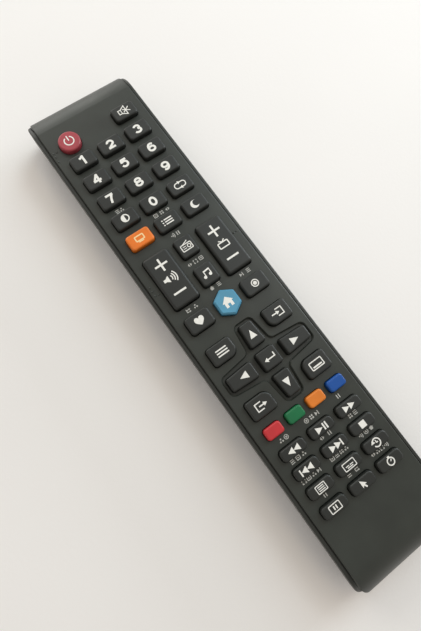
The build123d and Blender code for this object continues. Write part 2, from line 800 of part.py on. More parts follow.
# Two cells side by side, laid opposite ways: a can with a raised end
with BuildPart() as battery_cells:
    for side, nub_end, way in ((-1, far_plate_y[0] - seat_gap, -1), (1, near_plate_y[1] + seat_gap, 1)):
        shoulder = nub_end + way * nub_length
        foot = nub_end + way * cell_length
        with BuildSketch(Plane.XY.offset(cell_height)) as cell_half:
            with BuildLine():
                Polyline(
                    (side * cell_spacing / 2, nub_end),
                    (side * cell_spacing / 2 + nub_radius, nub_end),
                    (side * cell_spacing / 2 + nub_radius, shoulder),
                    (side * cell_spacing / 2 + cell_radius, shoulder),
                    (side * cell_spacing / 2 + cell_radius, foot),
                    (side * cell_spacing / 2, foot),
                    close=True,
                )
            make_face()
            rim = cell_half.vertices().sort_by(Axis.X)[-2:]
            fillet(rim, cell_edge)
        revolve(axis=Axis((side * cell_spacing / 2, 0, cell_height), (0, 1, 0)))
battery_cells.part.label = "battery_cells"
export_step(battery_cells.part, "parts/battery_cells.step")

# Keys: a cap that stands out of the face, a flange that holds it in, and a carbon pill underneath
for key in all_keys:
    cap_outline = key_outline(key)
    flange_outline = key_outline(key, flange_margin)
    foot = rocker_pill_base if key in rockers else pill_base
    with BuildPart() as key_cap:
        with BuildSketch(Plane.XY.offset(flange_base)):
            add(cap_outline)
        extrude(amount=key_top - flange_base)
        top_edges = key_cap.faces().sort_by(Axis.Z)[-1].edges()
        if key.shape == "hexagon":
            chamfer(top_edges, home_bevel)
        else:
            fillet(top_edges, rocker_edge_round if key in rockers else key_edge_round)
        with BuildSketch(Plane.XY.offset(flange_base)):
            add(flange_outline)
            if key in rockers:
                with Locations((key.x, key.y)):
                    Rectangle(2 * key.width, 2 * rocker_flange_half, mode=Mode.INTERSECT)
        extrude(amount=flange_thickness)
        for place in plunger_places(key):
            with BuildSketch(Plane.XY.offset(foot + pill_thickness / 2)):
                with Locations(place):
                    Circle(plunger_radius)
            extrude(until=Until.NEXT)
            with BuildSketch(Plane.XY.offset(foot)):
                with Locations(place):
                    Circle(pill_radius + pill_gap)
            extrude(amount=pill_thickness + pill_gap, mode=Mode.SUBTRACT)
            with BuildSketch(Plane.XY.offset(foot)):
                with Locations(place):
                    Circle(pill_radius)
            extrude(amount=pill_thickness)
    key_cap.part.label = key.name
    export_step(key_cap.part, f"parts/{key.name}.step")
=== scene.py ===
"""Looks for a long handheld remote control for a television.

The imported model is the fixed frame. This script dresses its nodes with procedural materials, prints
the legends on the keys and the face, and sets up the floor, the light and the camera.
All places are metres in the frame's own axes, and the layout tables below are written in millimetres.
"""

import logging
from dataclasses import dataclass, field
from enum import Enum
from functools import lru_cache

import bpy
import numpy as np
from mathutils import Matrix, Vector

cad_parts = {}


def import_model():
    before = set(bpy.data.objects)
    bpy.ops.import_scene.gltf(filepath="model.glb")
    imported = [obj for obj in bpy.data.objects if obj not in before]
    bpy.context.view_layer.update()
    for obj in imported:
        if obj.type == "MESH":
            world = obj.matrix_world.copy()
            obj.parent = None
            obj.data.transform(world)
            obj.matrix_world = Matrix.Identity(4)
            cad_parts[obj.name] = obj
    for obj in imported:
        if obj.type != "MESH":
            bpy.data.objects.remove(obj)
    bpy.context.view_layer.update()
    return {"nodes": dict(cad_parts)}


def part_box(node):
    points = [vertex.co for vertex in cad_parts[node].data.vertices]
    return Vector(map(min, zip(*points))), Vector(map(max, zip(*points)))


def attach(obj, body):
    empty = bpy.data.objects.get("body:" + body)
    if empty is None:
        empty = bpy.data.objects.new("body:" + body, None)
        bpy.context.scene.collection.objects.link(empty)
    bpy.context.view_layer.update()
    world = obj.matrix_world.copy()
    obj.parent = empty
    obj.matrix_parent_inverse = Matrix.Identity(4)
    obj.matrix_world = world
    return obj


MM = 0.001

# The display curve: a straight foot below the knee and a power above it.
DISPLAY_KNEE = 0.04045
DISPLAY_SLOPE = 12.92
DISPLAY_OFFSET = 0.055
DISPLAY_POWER = 2.4

# Blender's noise mostly lies between these two values.
NOISE_LOW = 0.3
NOISE_HIGH = 0.7

# How far a mitred corner may reach, in half widths of its band.
MITRE_LIMIT = 2.5

log = logging.getLogger("handset")

Colour = tuple[float, float, float]
Point = tuple[float, float]
Path2D = np.ndarray


def linear(colour: Colour) -> tuple[float, float, float, float]:
    """Turns a display colour into the linear one that a shader takes.

    Args:
        colour: red, green and blue as shown on a display, 0 to 1.

    Returns:
        The same colour in linear light, with full alpha.
    """
    foot = [c / DISPLAY_SLOPE for c in colour]
    curved = [((c + DISPLAY_OFFSET) / (1 + DISPLAY_OFFSET)) ** DISPLAY_POWER for c in colour]
    values = [low if c <= DISPLAY_KNEE else high for c, low, high in zip(colour, foot, curved)]
    return (values[0], values[1], values[2], 1.0)


class Graph:
    """A material's node tree, with short calls to add nodes and join them."""

    def __init__(self, name: str) -> None:
        """Starts an empty node material.

        Args:
            name: the material's name.
        """
        self.material = bpy.data.materials.new(name)
        self.material.use_nodes = True
        self.tree = self.material.node_tree
        self.tree.nodes.clear()

    def add(self, kind: str, **settings: object) -> bpy.types.Node:
        """Adds a node and sets its properties and its unlinked sockets.

        Args:
            kind: the node's Blender type name.
            settings: properties by name, and socket values by socket name with spaces as underscores.

        Returns:
            The new node.
        """
        node = self.tree.nodes.new(kind)
        for key, value in settings.items():
            if hasattr(node, key):
                setattr(node, key, value)
            else:
                node.inputs[key.replace("_", " ")].default_value = value
        return node

    def join(self, source: bpy.types.NodeSocket, target: bpy.types.NodeSocket) -> None:
        """Links an output to an input."""
        self.tree.links.new(source, target)

    def place(self) -> bpy.types.NodeSocket:
        """Gives the object coordinates, in metres."""
        return self.add("ShaderNodeTexCoord").outputs["Object"]

    def noise(self, scale: float, detail: float = 2.0, roughness: float = 0.5) -> bpy.types.NodeSocket:
        """Adds noise on the object coordinates.

        Args:
            scale: how many features to a metre.
            detail: octaves.
            roughness: how strong the finer octaves are.

        Returns:
            The noise's value socket.
        """
        node = self.add("ShaderNodeTexNoise", Scale=scale, Detail=detail, Roughness=roughness)
        self.join(self.place(), node.inputs["Vector"])
        return node.outputs["Fac"]

    def span(self, value: bpy.types.NodeSocket, low: float, high: float) -> bpy.types.NodeSocket:
        """Maps a noise value from its usual span onto low to high.

        Args:
            value: the noise value.
            low: the result where the noise is NOISE_LOW.
            high: the result where the noise is NOISE_HIGH.

        Returns:
            The mapped value's socket.
        """
        node = self.add("ShaderNodeMapRange", To_Min=low, To_Max=high)
        node.inputs["From Min"].default_value = NOISE_LOW
        node.inputs["From Max"].default_value = NOISE_HIGH
        self.join(value, node.inputs["Value"])
        return node.outputs["Result"]

    def blend(self, amount: bpy.types.NodeSocket, first: Colour, second: Colour) -> bpy.types.NodeSocket:
        """Mixes two display colours by an amount.

        Args:
            amount: 0 gives the first colour and 1 the second.
            first: a display colour.
            second: a display colour.

        Returns:
            The mixed colour's socket.
        """
        node = self.add("ShaderNodeMix", data_type="RGBA")
        self.join(amount, node.inputs[0])
        node.inputs[6].default_value = linear(first)
        node.inputs[7].default_value = linear(second)
        return node.outputs[2]

    def bump(self, height: bpy.types.NodeSocket, depth: float) -> bpy.types.NodeSocket:
        """Turns a height into a bumped normal.

        Args:
            height: the height's socket.
            depth: how far the height moves the surface, in metres.

        Returns:
            The normal's socket.
        """
        node = self.add("ShaderNodeBump", Distance=depth, Strength=1.0)
        self.join(height, node.inputs["Height"])
        return node.outputs["Normal"]

    def close(self, shader: bpy.types.Node) -> bpy.types.Material:
        """Joins a shader to the output.

        Args:
            shader: the surface's shader node.

        Returns:
            The finished material.
        """
        self.join(shader.outputs[0], self.add("ShaderNodeOutputMaterial").inputs["Surface"])
        return self.material


def shade(colour: Colour, factor: float) -> Colour:
    """Makes a display colour lighter or darker by a factor."""
    return (min(1.0, colour[0] * factor), min(1.0, colour[1] * factor), min(1.0, colour[2] * factor))


@dataclass(frozen=True)
class Plastic:
    """Moulded plastic with a fine grain, faint mottling and handling smudges in its gloss.

    The scales count features to a metre, and the grain's pitch and depth are in metres.
    """

    name: str
    colour: Colour
    roughness: float = 0.45
    mottle: float = 0.06
    mottle_scale: float = 90.0
    grain: float = 0.00035
    grain_depth: float = 0.000012
    smudge: float = 0.06
    smudge_scale: float = 55.0
    specular: float = 0.5

    @lru_cache(maxsize=None)
    def material(self) -> bpy.types.Material:
        """Builds the material once and gives it."""
        graph = Graph(self.name)
        mottle = graph.span(graph.noise(self.mottle_scale, 3.0), 0.0, 1.0)
        colour = graph.blend(mottle, shade(self.colour, 1 - self.mottle), shade(self.colour, 1 + self.mottle))
        smudge = graph.noise(self.smudge_scale, 5.0, 0.6)
        roughness = graph.span(smudge, self.roughness - self.smudge, self.roughness + self.smudge)
        normal = graph.bump(graph.noise(1 / self.grain, 2.0), self.grain_depth)
        shader = graph.add("ShaderNodeBsdfPrincipled")
        shader.inputs["Specular IOR Level"].default_value = self.specular
        graph.join(colour, shader.inputs["Base Color"])
        graph.join(roughness, shader.inputs["Roughness"])
        graph.join(normal, shader.inputs["Normal"])
        return graph.close(shader)


@dataclass(frozen=True)
class Ink:
    """Printed ink: flat, a little uneven, with a faint rough edge to its gloss."""

    name: str
    colour: Colour
    uneven: float = 0.05
    patch_scale: float = 900.0
    gloss_scale: float = 400.0
    roughness: tuple[float, float] = (0.45, 0.6)

    @lru_cache(maxsize=None)
    def material(self) -> bpy.types.Material:
        """Builds the material once and gives it."""
        graph = Graph(self.name)
        patches = graph.span(graph.noise(self.patch_scale, 4.0, 0.7), 0.0, 1.0)
        colour = graph.blend(patches, shade(self.colour, 1 - self.uneven), self.colour)
        shader = graph.add("ShaderNodeBsdfPrincipled")
        graph.join(colour, shader.inputs["Base Color"])
        gloss = graph.span(graph.noise(self.gloss_scale), *self.roughness)
        graph.join(gloss, shader.inputs["Roughness"])
        return graph.close(shader)


@dataclass(frozen=True)
class Metal:
    """Plated or drawn metal with fine streaks along one axis."""

    name: str
    colour: Colour
    roughness: float = 0.3
    duller: float = 0.1
    shinier: float = 0.08
    dark_streak: float = 0.85
    streak_depth: float = 0.000004
    streaks: tuple[float, float, float] = (400.0, 400.0, 6000.0)

    @lru_cache(maxsize=None)
    def material(self) -> bpy.types.Material:
        """Builds the material once and gives it."""
        graph = Graph(self.name)
        mapping = graph.add("ShaderNodeMapping", Scale=self.streaks)
        graph.join(graph.place(), mapping.inputs["Vector"])
        lines = graph.add("ShaderNodeTexNoise", Scale=1.0, Detail=3.0)
        graph.join(mapping.outputs["Vector"], lines.inputs["Vector"])
        shader = graph.add("ShaderNodeBsdfPrincipled", Metallic=1.0)
        height = lines.outputs["Fac"]
        colour = graph.blend(graph.span(height, 0.0, 1.0), shade(self.colour, self.dark_streak), self.colour)
        gloss = graph.span(height, self.roughness - self.shinier, self.roughness + self.duller)
        graph.join(colour, shader.inputs["Base Color"])
        graph.join(gloss, shader.inputs["Roughness"])
        graph.join(graph.bump(height, self.streak_depth), shader.inputs["Normal"])
        return graph.close(shader)


@dataclass(frozen=True)
class Laminate:
    """Circuit board: solder mask over a pattern of copper tracks."""

    name: str
    mask: Colour
    track: Colour
    pitch: float = 0.0025
    track_share: float = 0.09
    pad_length: float = 2.4
    pale_pad: float = 1.12
    roughness: float = 0.32
    track_depth: float = 0.00002

    @lru_cache(maxsize=None)
    def material(self) -> bpy.types.Material:
        """Builds the material once and gives it."""
        graph = Graph(self.name)
        bricks = graph.add("ShaderNodeTexBrick", Scale=1 / self.pitch)
        bricks.inputs["Mortar Size"].default_value = self.track_share
        bricks.inputs["Brick Width"].default_value = self.pad_length
        bricks.inputs["Color1"].default_value = linear(self.mask)
        bricks.inputs["Color2"].default_value = linear(shade(self.mask, self.pale_pad))
        bricks.inputs["Mortar"].default_value = linear(self.track)
        graph.join(graph.place(), bricks.inputs["Vector"])
        shader = graph.add("ShaderNodeBsdfPrincipled", Roughness=self.roughness)
        graph.join(bricks.outputs["Color"], shader.inputs["Base Color"])
        graph.join(graph.bump(bricks.outputs["Fac"], self.track_depth), shader.inputs["Normal"])
        return graph.close(shader)


@dataclass(frozen=True)
class Resin:
    """Dark clear resin that lets a little light through."""

    name: str
    colour: Colour
    pale: float = 1.2
    tone_scale: float = 500.0
    roughness: float = 0.08
    clearness: float = 0.35
    refraction: float = 1.52

    @lru_cache(maxsize=None)
    def material(self) -> bpy.types.Material:
        """Builds the material once and gives it."""
        graph = Graph(self.name)
        tone = graph.span(graph.noise(self.tone_scale), 0.0, 1.0)
        shader = graph.add("ShaderNodeBsdfPrincipled", Roughness=self.roughness)
        shader.inputs["Transmission Weight"].default_value = self.clearness
        shader.inputs["IOR"].default_value = self.refraction
        colour = graph.blend(tone, self.colour, shade(self.colour, self.pale))
        graph.join(colour, shader.inputs["Base Color"])
        return graph.close(shader)


CASE_BLACK = Plastic("case_charcoal", (0.192, 0.207, 0.188), roughness=0.40)
TRAY_BLACK = Plastic("tray_charcoal", (0.174, 0.184, 0.168), roughness=0.42)
KEY_BLACK = Plastic("key_near_black", (0.140, 0.149, 0.138), roughness=0.46, mottle=0.04)
POWER_RED = Plastic("power_rosy_red", (0.63, 0.24, 0.275), roughness=0.4)
ROSE_RED = Plastic("key_rosy_red", (0.74, 0.18, 0.20), roughness=0.4)
HOME_BLUE = Plastic("home_light_blue", (0.32, 0.585, 0.71), roughness=0.4)
KEY_ORANGE = Plastic("key_orange", (0.88, 0.455, 0.12), roughness=0.4)
KEY_AMBER = Plastic("key_amber", (0.88, 0.49, 0.14), roughness=0.4)
KEY_GREEN = Plastic("key_green", (0.03, 0.41, 0.24), roughness=0.4)
KEY_BLUE = Plastic("key_blue", (0.0, 0.29, 0.60), roughness=0.4)
SILICONE = Plastic("silicone_grey", (0.24, 0.24, 0.25), roughness=0.7, grain_depth=0.00002)
CHIP_BLACK = Plastic("chip_moulding", (0.12, 0.12, 0.12), roughness=0.6)
RESONATOR_OCHRE = Plastic("resonator_ochre", (0.80, 0.50, 0.16), roughness=0.25)
SLEEVE_DARK = Plastic("capacitor_sleeve", (0.16, 0.16, 0.20), roughness=0.3)
CELL_SLEEVE = Metal("cell_sleeve", (0.62, 0.64, 0.66), roughness=0.32, streaks=(900.0, 60.0, 900.0))
CONTACT_STEEL = Metal("contact_nickel", (0.78, 0.77, 0.74), roughness=0.25)
BOARD_GREEN = Laminate("board_green", (0.10, 0.34, 0.17), (0.16, 0.46, 0.24))
EMITTER_RESIN = Resin("emitter_resin", (0.22, 0.14, 0.28))
WHITE_INK = Ink("legend_white", (0.95, 0.95, 0.93))
GREY_INK = Ink("legend_grey", (0.78, 0.78, 0.76))
CREAM_INK = Ink("legend_cream", (0.98, 0.86, 0.64))

Finish = Plastic | Metal | Laminate | Resin | Ink


def dress(node: bpy.types.Object, finish: Finish) -> None:
    """Gives a node one finish on all its material slots.

    Args:
        node: a mesh object.
        finish: the finish it gets.
    """
    if not node.material_slots:
        node.data.materials.append(None)
    for slot in node.material_slots:
        slot.material = finish.material()


def arc(cx: float, cy: float, rx: float, ry: float, start: float, end: float, count: int = 20) -> Path2D:
    """Points on an ellipse: centre plus (rx cos t, ry sin t), with t from start to end in degrees."""
    angle = np.radians(np.linspace(start, end, count))
    return np.stack([cx + rx * np.cos(angle), cy + ry * np.sin(angle)], axis=1)


def line(*points: Point) -> Path2D:
    """Points of an open run of straight pieces."""
    return np.array(points, dtype=float)


def curve(start: Point, pull: Point, end: Point, count: int = 14) -> Path2D:
    """Points on a parabola: (1-t)^2 start + 2t(1-t) pull + t^2 end."""
    t = np.linspace(0.0, 1.0, count)[:, None]
    first, middle, last = (np.array(p, dtype=float) for p in (start, pull, end))
    return (1 - t) ** 2 * first + 2 * t * (1 - t) * middle + t**2 * last


def joined(*paths: Path2D) -> Path2D:
    """Joins several runs of points end to end."""
    return np.concatenate(paths)


def at_height(path: Path2D, height: float) -> np.ndarray:
    """Lifts a plan path to one height."""
    return np.column_stack([path, np.full(len(path), height)])


def unit_sides(runs: np.ndarray) -> np.ndarray:
    """Gives the unit normal to the left of each run."""
    return np.stack([-runs[:, 1], runs[:, 0]], axis=1) / np.linalg.norm(runs, axis=1)[:, None]


class Nib(Enum):
    """How a stroke ends."""

    OPEN = "open"
    CLOSED = "closed"


@dataclass(frozen=True)
class Stroke:
    """A band of one width along a path."""

    path: Path2D
    width: float
    nib: Nib = Nib.OPEN

    def solid(self, low: float, high: float) -> tuple[np.ndarray, list[list[int]]]:
        """Sweeps a four-cornered section along the path.

        Each point moves to both sides along its mitred normal, n / (n . s), where n is the mean of the
        normals of the two runs that meet there and s the normal of one of them, by half the width.

        Args:
            low: the height of the band's foot.
            high: the height of its top.

        Returns:
            The corners and the faces.
        """
        closed = self.nib is Nib.CLOSED
        path = self.path[:-1] if closed and np.allclose(self.path[0], self.path[-1]) else self.path
        after = np.roll(path, -1, axis=0) - path
        before = path - np.roll(path, 1, axis=0)
        if not closed:
            after[-1] = before[-1]
            before[0] = after[0]
        side_after = unit_sides(after)
        mean = side_after + unit_sides(before)
        mean /= np.linalg.norm(mean, axis=1)[:, None]
        sharpness = np.maximum((mean * side_after).sum(axis=1), 1 / MITRE_LIMIT)
        reach = (1 / sharpness)[:, None]
        left = path + mean * reach * self.width / 2
        right = path - mean * reach * self.width / 2
        count = len(path)
        rings = [(left, low), (left, high), (right, high), (right, low)]
        corners = np.concatenate([at_height(side, height) for side, height in rings])
        first = np.arange(count if closed else count - 1)
        following = (first + 1) % count
        faces: list[list[int]] = []
        for index in range(4):
            here, there = index * count, (index + 1) % 4 * count
            strip = [first + here, following + here, following + there, first + there]
            faces += np.stack(strip, axis=1).tolist()
        if not closed:
            faces.append([0, count, 2 * count, 3 * count])
            faces.append([4 * count - 1, 3 * count - 1, 2 * count - 1, count - 1])
        return corners, faces


@dataclass(frozen=True)
class Plate:
    """A filled outline."""

    outline: Path2D

    def solid(self, low: float, high: float) -> tuple[np.ndarray, list[list[int]]]:
        """Raises the outline from low to high: a top, a foot and a wall with one face to each edge.

        Args:
            low: the height of the foot.
            high: the height of the top.

        Returns:
            The corners and the faces.
        """
        path = self.outline
        turned = np.roll(path, -1, axis=0)
        if (path[:, 0] * turned[:, 1] - turned[:, 0] * path[:, 1]).sum() < 0:
            path = path[::-1]
        count = len(path)
        corners = np.concatenate([at_height(path, height) for height in (low, high)])
        first = np.arange(count)
        following = (first + 1) % count
        faces = np.stack([first, following, following + count, first + count], axis=1).tolist()
        faces.append((first + count).tolist())
        faces.append(first[::-1].tolist())
        return corners, faces


Mark = list[Stroke | Plate]

# A mark, its place across and along, and its scale.
Placed = tuple[Mark, float, float, float]


def disc(cx: float, cy: float, radius: float, count: int = 24) -> Plate:
    """A filled circle."""
    return Plate(arc(cx, cy, radius, radius, 0, 360 - 360 / count, count))


def ring(cx: float, cy: float, rx: float, ry: float, width: float) -> Stroke:
    """A closed band on an ellipse."""
    return Stroke(arc(cx, cy, rx, ry, 0, 360, 33), width, Nib.CLOSED)


def block(left: float, low: float, right: float, high: float) -> Plate:
    """A filled rectangle."""
    return Plate(line((left, low), (right, low), (right, high), (left, high)))


def frame_line(left: float, low: float, right: float, high: float, corner: float, width: float) -> Stroke:
    """A closed band round a rectangle with rounded corners."""
    turns = [
        arc(right - corner, high - corner, corner, corner, 0, 90, 5),
        arc(left + corner, high - corner, corner, corner, 90, 180, 5),
        arc(left + corner, low + corner, corner, corner, 180, 270, 5),
        arc(right - corner, low + corner, corner, corner, 270, 360, 5),
    ]
    return Stroke(joined(*turns), width, Nib.CLOSED)


def wedge(x: float, y: float, length: float, half: float) -> Plate:
    """A triangle that points along X from its flat side at x; a negative length points it back."""
    return Plate(line((x, y - half), (x + length, y), (x, y + half)))


@dataclass(frozen=True)
class Numerals:
    """Bold figures built from bands; height and width are those of the whole figure."""

    height: float = 4.15
    width: float = 3.5
    weight: float = 0.92

    def draw(self, figure: int) -> Mark:
        """Draws one figure about its own middle.

        Args:
            figure: 0 to 9.

        Returns:
            The figure's bands.
        """
        pen = self.weight
        top = self.height / 2
        mid_top = top - pen / 2
        side = (self.width - pen) / 2

        def band(path: Path2D) -> Stroke:
            """An open band of the figure's weight."""
            return Stroke(path, pen)

        def loop(cy: float, rx: float, ry: float) -> Stroke:
            """A closed band of the figure's weight on the middle line."""
            return ring(0, cy, rx, ry, pen)

        six = [
            loop(-mid_top + 1.02, side, 1.02),
            band(arc(0.12, 0, side + 0.12, mid_top, 192, 48, 18)),
        ]
        swan = arc(0, mid_top - 1.08, side - 0.06, 1.08, 172, -32, 18)
        figures: dict[int, Mark] = {
            0: [loop(0, side - 0.1, mid_top)],
            1: [
                band(line((0.42, top), (0.42, -top))),
                band(curve((-1.15, 0.98), (0.0, 1.1), (0.42, top - 0.12))),
            ],
            2: [
                band(joined(swan, line((-side + 0.1, -mid_top + 0.12)))),
                band(line((-side - 0.3, -mid_top), (side + 0.25, -mid_top))),
            ],
            3: [
                band(arc(-0.05, mid_top - 0.86, side - 0.16, 0.86, 162, -82, 18)),
                band(arc(-0.05, -mid_top + 0.92, side, 0.92, 84, -163, 18)),
            ],
            4: [
                band(line((0.62, top - 0.15), (-side - 0.05, -0.72))),
                band(line((-side - 0.42, -0.82), (side + 0.38, -0.82))),
                band(line((0.58, top), (0.58, -top))),
            ],
            5: [
                band(line((-side + 0.2, mid_top), (side + 0.05, mid_top))),
                band(line((-side + 0.42, mid_top), (-side + 0.22, 0.18))),
                band(arc(-0.03, -mid_top + 1.2, side, 1.2, 136, -160, 20)),
            ],
            6: six,
            7: [
                band(line((-side - 0.35, mid_top), (side + 0.3, mid_top))),
                band(curve((side, mid_top), (0.0, 0.2), (-0.42, -top))),
            ],
            8: [loop(mid_top - 0.82, side - 0.2, 0.82), loop(-mid_top + 0.9, side, 0.9)],
            9: [Stroke(-piece.path, piece.width, piece.nib) for piece in six if isinstance(piece, Stroke)],
        }
        return figures[figure]


@dataclass(frozen=True)
class Pictograms:
    """Generic signs for the keys' functions, each about its own middle, in millimetres.

    The first values are the widths of the pens, and half is half the height of the transport signs.
    """

    hair: float = 0.32
    fine: float = 0.34
    thin: float = 0.36
    slim: float = 0.38
    pen: float = 0.42
    wave: float = 0.46
    bold: float = 0.5
    beam: float = 0.6
    minus_bar: float = 0.8
    plus_bar: float = 0.82
    half: float = 1.3

    def power(self) -> Mark:
        """An open ring with an upright bar."""
        opened = arc(0, 0, 2.05, 2.05, 120, 420, 36)
        return [Stroke(opened, self.bold), Stroke(line((0, 0.1), (0, 2.6)), self.bold)]

    def mute(self) -> Mark:
        """A crossed-out loudspeaker."""
        horn = line((-2.4, -0.95), (-1.2, -0.95), (0.9, -2.15), (0.9, 2.15), (-1.2, 0.95), (-2.4, 0.95))
        return [
            Stroke(horn, self.slim, Nib.CLOSED),
            Stroke(line((-0.4, -0.8), (2.6, 1.05)), self.slim),
            Stroke(line((-0.4, 0.8), (2.6, -1.05)), self.slim),
            Stroke(line((-1.15, -0.9), (-1.15, 0.9)), self.hair),
        ]

    def swap(self) -> Mark:
        """A flat loop with an arrowhead on each run."""
        loop = frame_line(-2.35, -1.15, 2.35, 1.15, 1.1, self.pen)
        return [loop, wedge(-0.5, 1.15, 1.25, 0.72), wedge(0.5, -1.15, -1.25, 0.72)]

    def contrast(self) -> Mark:
        """A ring with one half filled."""
        return [ring(0, 0, 1.25, 1.25, self.pen), Plate(arc(0, 0, 1.2, 1.2, 90, 270, 16))]

    def screen(self) -> Mark:
        """A television screen on a foot."""
        return [frame_line(-2.1, -0.85, 2.1, 1.5, 0.3, 1.5 * self.pen), block(-1.3, -1.75, 1.3, -1.25)]

    def listing(self) -> Mark:
        """Three rows, each a square and a line."""
        spans = ((-2.3, -1.7), (-1.2, 2.3))
        return [block(left, y - 0.24, right, y + 0.24) for left, right in spans for y in (-1.05, 0.0, 1.05)]

    def moon(self) -> Mark:
        """A crescent."""
        outer = arc(0, 0, 1.5, 1.5, 60, 330, 28)
        inner = arc(0.72, 0.3, 1.22, 1.22, 292, 98, 20)
        return [Plate(joined(outer, inner))]

    def plus(self) -> Mark:
        """A plus sign."""
        across, upright = line((-2.75, 0), (2.75, 0)), line((0, -2.75), (0, 2.75))
        return [Stroke(across, self.plus_bar), Stroke(upright, self.plus_bar)]

    def minus(self) -> Mark:
        """A minus sign."""
        return [Stroke(line((-2.75, 0), (2.75, 0)), self.minus_bar)]

    def loudspeaker(self) -> Mark:
        """A loudspeaker with three waves."""
        horn = line((-3.0, -0.6), (-2.0, -0.6), (-0.6, -1.5), (-0.6, 1.5), (-2.0, 0.6), (-3.0, 0.6))
        waves = [Stroke(arc(-0.6, 0, r, r, -42, 42, 12), self.wave) for r in (1.35, 2.3, 3.25)]
        return [Plate(horn), *waves]

    def antenna_set(self) -> Mark:
        """A television with two rods on top."""
        return [
            frame_line(-2.2, -1.5, 2.2, 0.75, 0.3, self.bold),
            Stroke(line((-1.3, 1.75), (0, 0.85), (1.3, 1.75)), self.pen),
        ]

    def radio_set(self) -> Mark:
        """A radio: a case with a dial, a grille and a rod."""
        return [
            frame_line(-2.5, -1.9, 2.5, 1.0, 0.35, self.pen),
            ring(1.15, -0.45, 0.75, 0.75, self.slim),
            block(-1.8, -0.15, -0.2, 0.15),
            block(-1.8, -1.05, -0.2, -0.75),
            Stroke(line((-1.6, 1.0), (1.5, 2.2)), self.fine),
        ]

    def note(self) -> Mark:
        """Two joined musical notes."""
        return [
            disc(-1.25, -1.0, 0.62),
            disc(1.15, -0.75, 0.62),
            Stroke(line((-0.8, -1.0), (-0.8, 1.2)), self.thin),
            Stroke(line((1.6, -0.75), (1.6, 1.45)), self.thin),
            Stroke(line((-0.98, 1.1), (1.78, 1.4)), self.beam),
        ]

    def heart(self) -> Mark:
        """A heart: two half circles over two curves to a point."""
        left = curve((0, -1.5), (-2.0, -0.1), (-1.7, 0.75), 8)
        lobe = arc(-0.86, 0.68, 0.86, 0.86, 170, 12, 12)
        half = joined(left, lobe)
        mirrored = half[::-1] * np.array([-1.0, 1.0])
        return [Plate(joined(half, mirrored[1:-1]))]

    def record(self) -> Mark:
        """A dot in a ring."""
        return [ring(0, 0, 1.4, 1.4, self.pen), disc(0, 0, 0.8)]

    def house(self) -> Mark:
        """A house with a door: a roof and a body cut by the doorway."""
        roof = line((-2.15, -0.05), (0, 2.05), (2.15, -0.05), (1.55, -0.05))
        right_wall = line((1.55, -1.95), (0.5, -1.95), (0.5, -0.7))
        left_wall = line((-0.5, -0.7), (-0.5, -1.95), (-1.55, -1.95), (-1.55, -0.05))
        return [Plate(joined(roof, right_wall, left_wall))]

    def menu(self) -> Mark:
        """Three long bars."""
        return [block(-2.4, y - 0.26, 2.4, y + 0.26) for y in (-1.1, 0.0, 1.1)]

    def inlet(self) -> Mark:
        """An arrow into a box that is open to the left."""
        box = line((-0.3, 1.45), (2.3, 1.45), (2.3, -1.45), (-0.3, -1.45))
        shaft = Stroke(line((-2.6, 0), (-0.3, 0)), self.bold)
        return [Stroke(box, self.pen), shaft, wedge(-0.5, 0, 1.4, 0.85)]

    def outlet(self) -> Mark:
        """An arrow out of a box that is open to the right."""
        box = line((0.4, 1.45), (-2.2, 1.45), (-2.2, -1.45), (0.4, -1.45))
        shaft = Stroke(line((-1.0, 0), (1.2, 0)), self.bold)
        return [Stroke(box, self.pen), shaft, wedge(1.0, 0, 1.5, 0.85)]

    def panel(self) -> Mark:
        """A wide screen with a banner along its foot."""
        return [frame_line(-2.7, -1.5, 2.7, 1.5, 0.3, self.pen), block(-2.0, -0.95, 2.0, -0.35)]

    def confirm(self) -> Mark:
        """A hooked return arrow."""
        shaft = Stroke(line((2.3, 1.3), (2.3, -0.35), (-1.2, -0.35)), self.bold)
        return [shaft, wedge(-1.0, -0.35, -1.6, 1.0)]

    def arrow(self, across: float, along: float) -> Mark:
        """A filled triangle pointing along (across, along)."""
        x, y = line((-1.75, -2.0), (1.75, -2.0), (0, 2.0)).T
        return [Plate(np.stack([x * along + y * across, y * along - x * across], axis=1))]

    def rewind(self) -> Mark:
        """Two triangles pointing left."""
        return [wedge(0.0, 0, -2.5, self.half), wedge(2.5, 0, -2.5, self.half)]

    def forward(self) -> Mark:
        """Two triangles pointing right."""
        return [wedge(-2.5, 0, 2.5, self.half), wedge(0.0, 0, 2.5, self.half)]

    def play_pause(self) -> Mark:
        """A triangle and two bars."""
        bars = [block(left, -self.half, left + 0.6, self.half) for left in (0.65, 1.75)]
        return [wedge(-2.4, 0, 2.7, self.half), *bars]

    def previous(self) -> Mark:
        """A bar and two triangles pointing left."""
        bar = block(-3.1, -self.half, -2.55, self.half)
        return [bar, wedge(-0.1, 0, -2.4, self.half), wedge(2.3, 0, -2.4, self.half)]

    def following(self) -> Mark:
        """Two triangles pointing right and a bar."""
        bar = block(2.55, -self.half, 3.1, self.half)
        return [wedge(-2.3, 0, 2.4, self.half), wedge(0.1, 0, 2.4, self.half), bar]

    def stop(self) -> Mark:
        """A square."""
        return [block(-1.25, -1.25, 1.25, 1.25)]

    def page(self) -> Mark:
        """A sheet with lines of text, drawn as bars."""
        rows = [block(-1.5, y - 0.17, 1.5, y + 0.17) for y in (-0.75, 0.0, 0.75)]
        return [frame_line(-2.2, -1.5, 2.2, 1.5, 0.2, self.fine), *rows]

    def captions(self) -> Mark:
        """A wide screen with two rows of dashes near its foot."""
        dashes = [block(-1.9, -0.25, -0.2, 0.1), block(0.2, -0.25, 1.9, 0.1), block(-1.4, -0.95, 1.4, -0.6)]
        return [frame_line(-2.8, -1.5, 2.8, 1.5, 0.3, self.thin), *dashes]

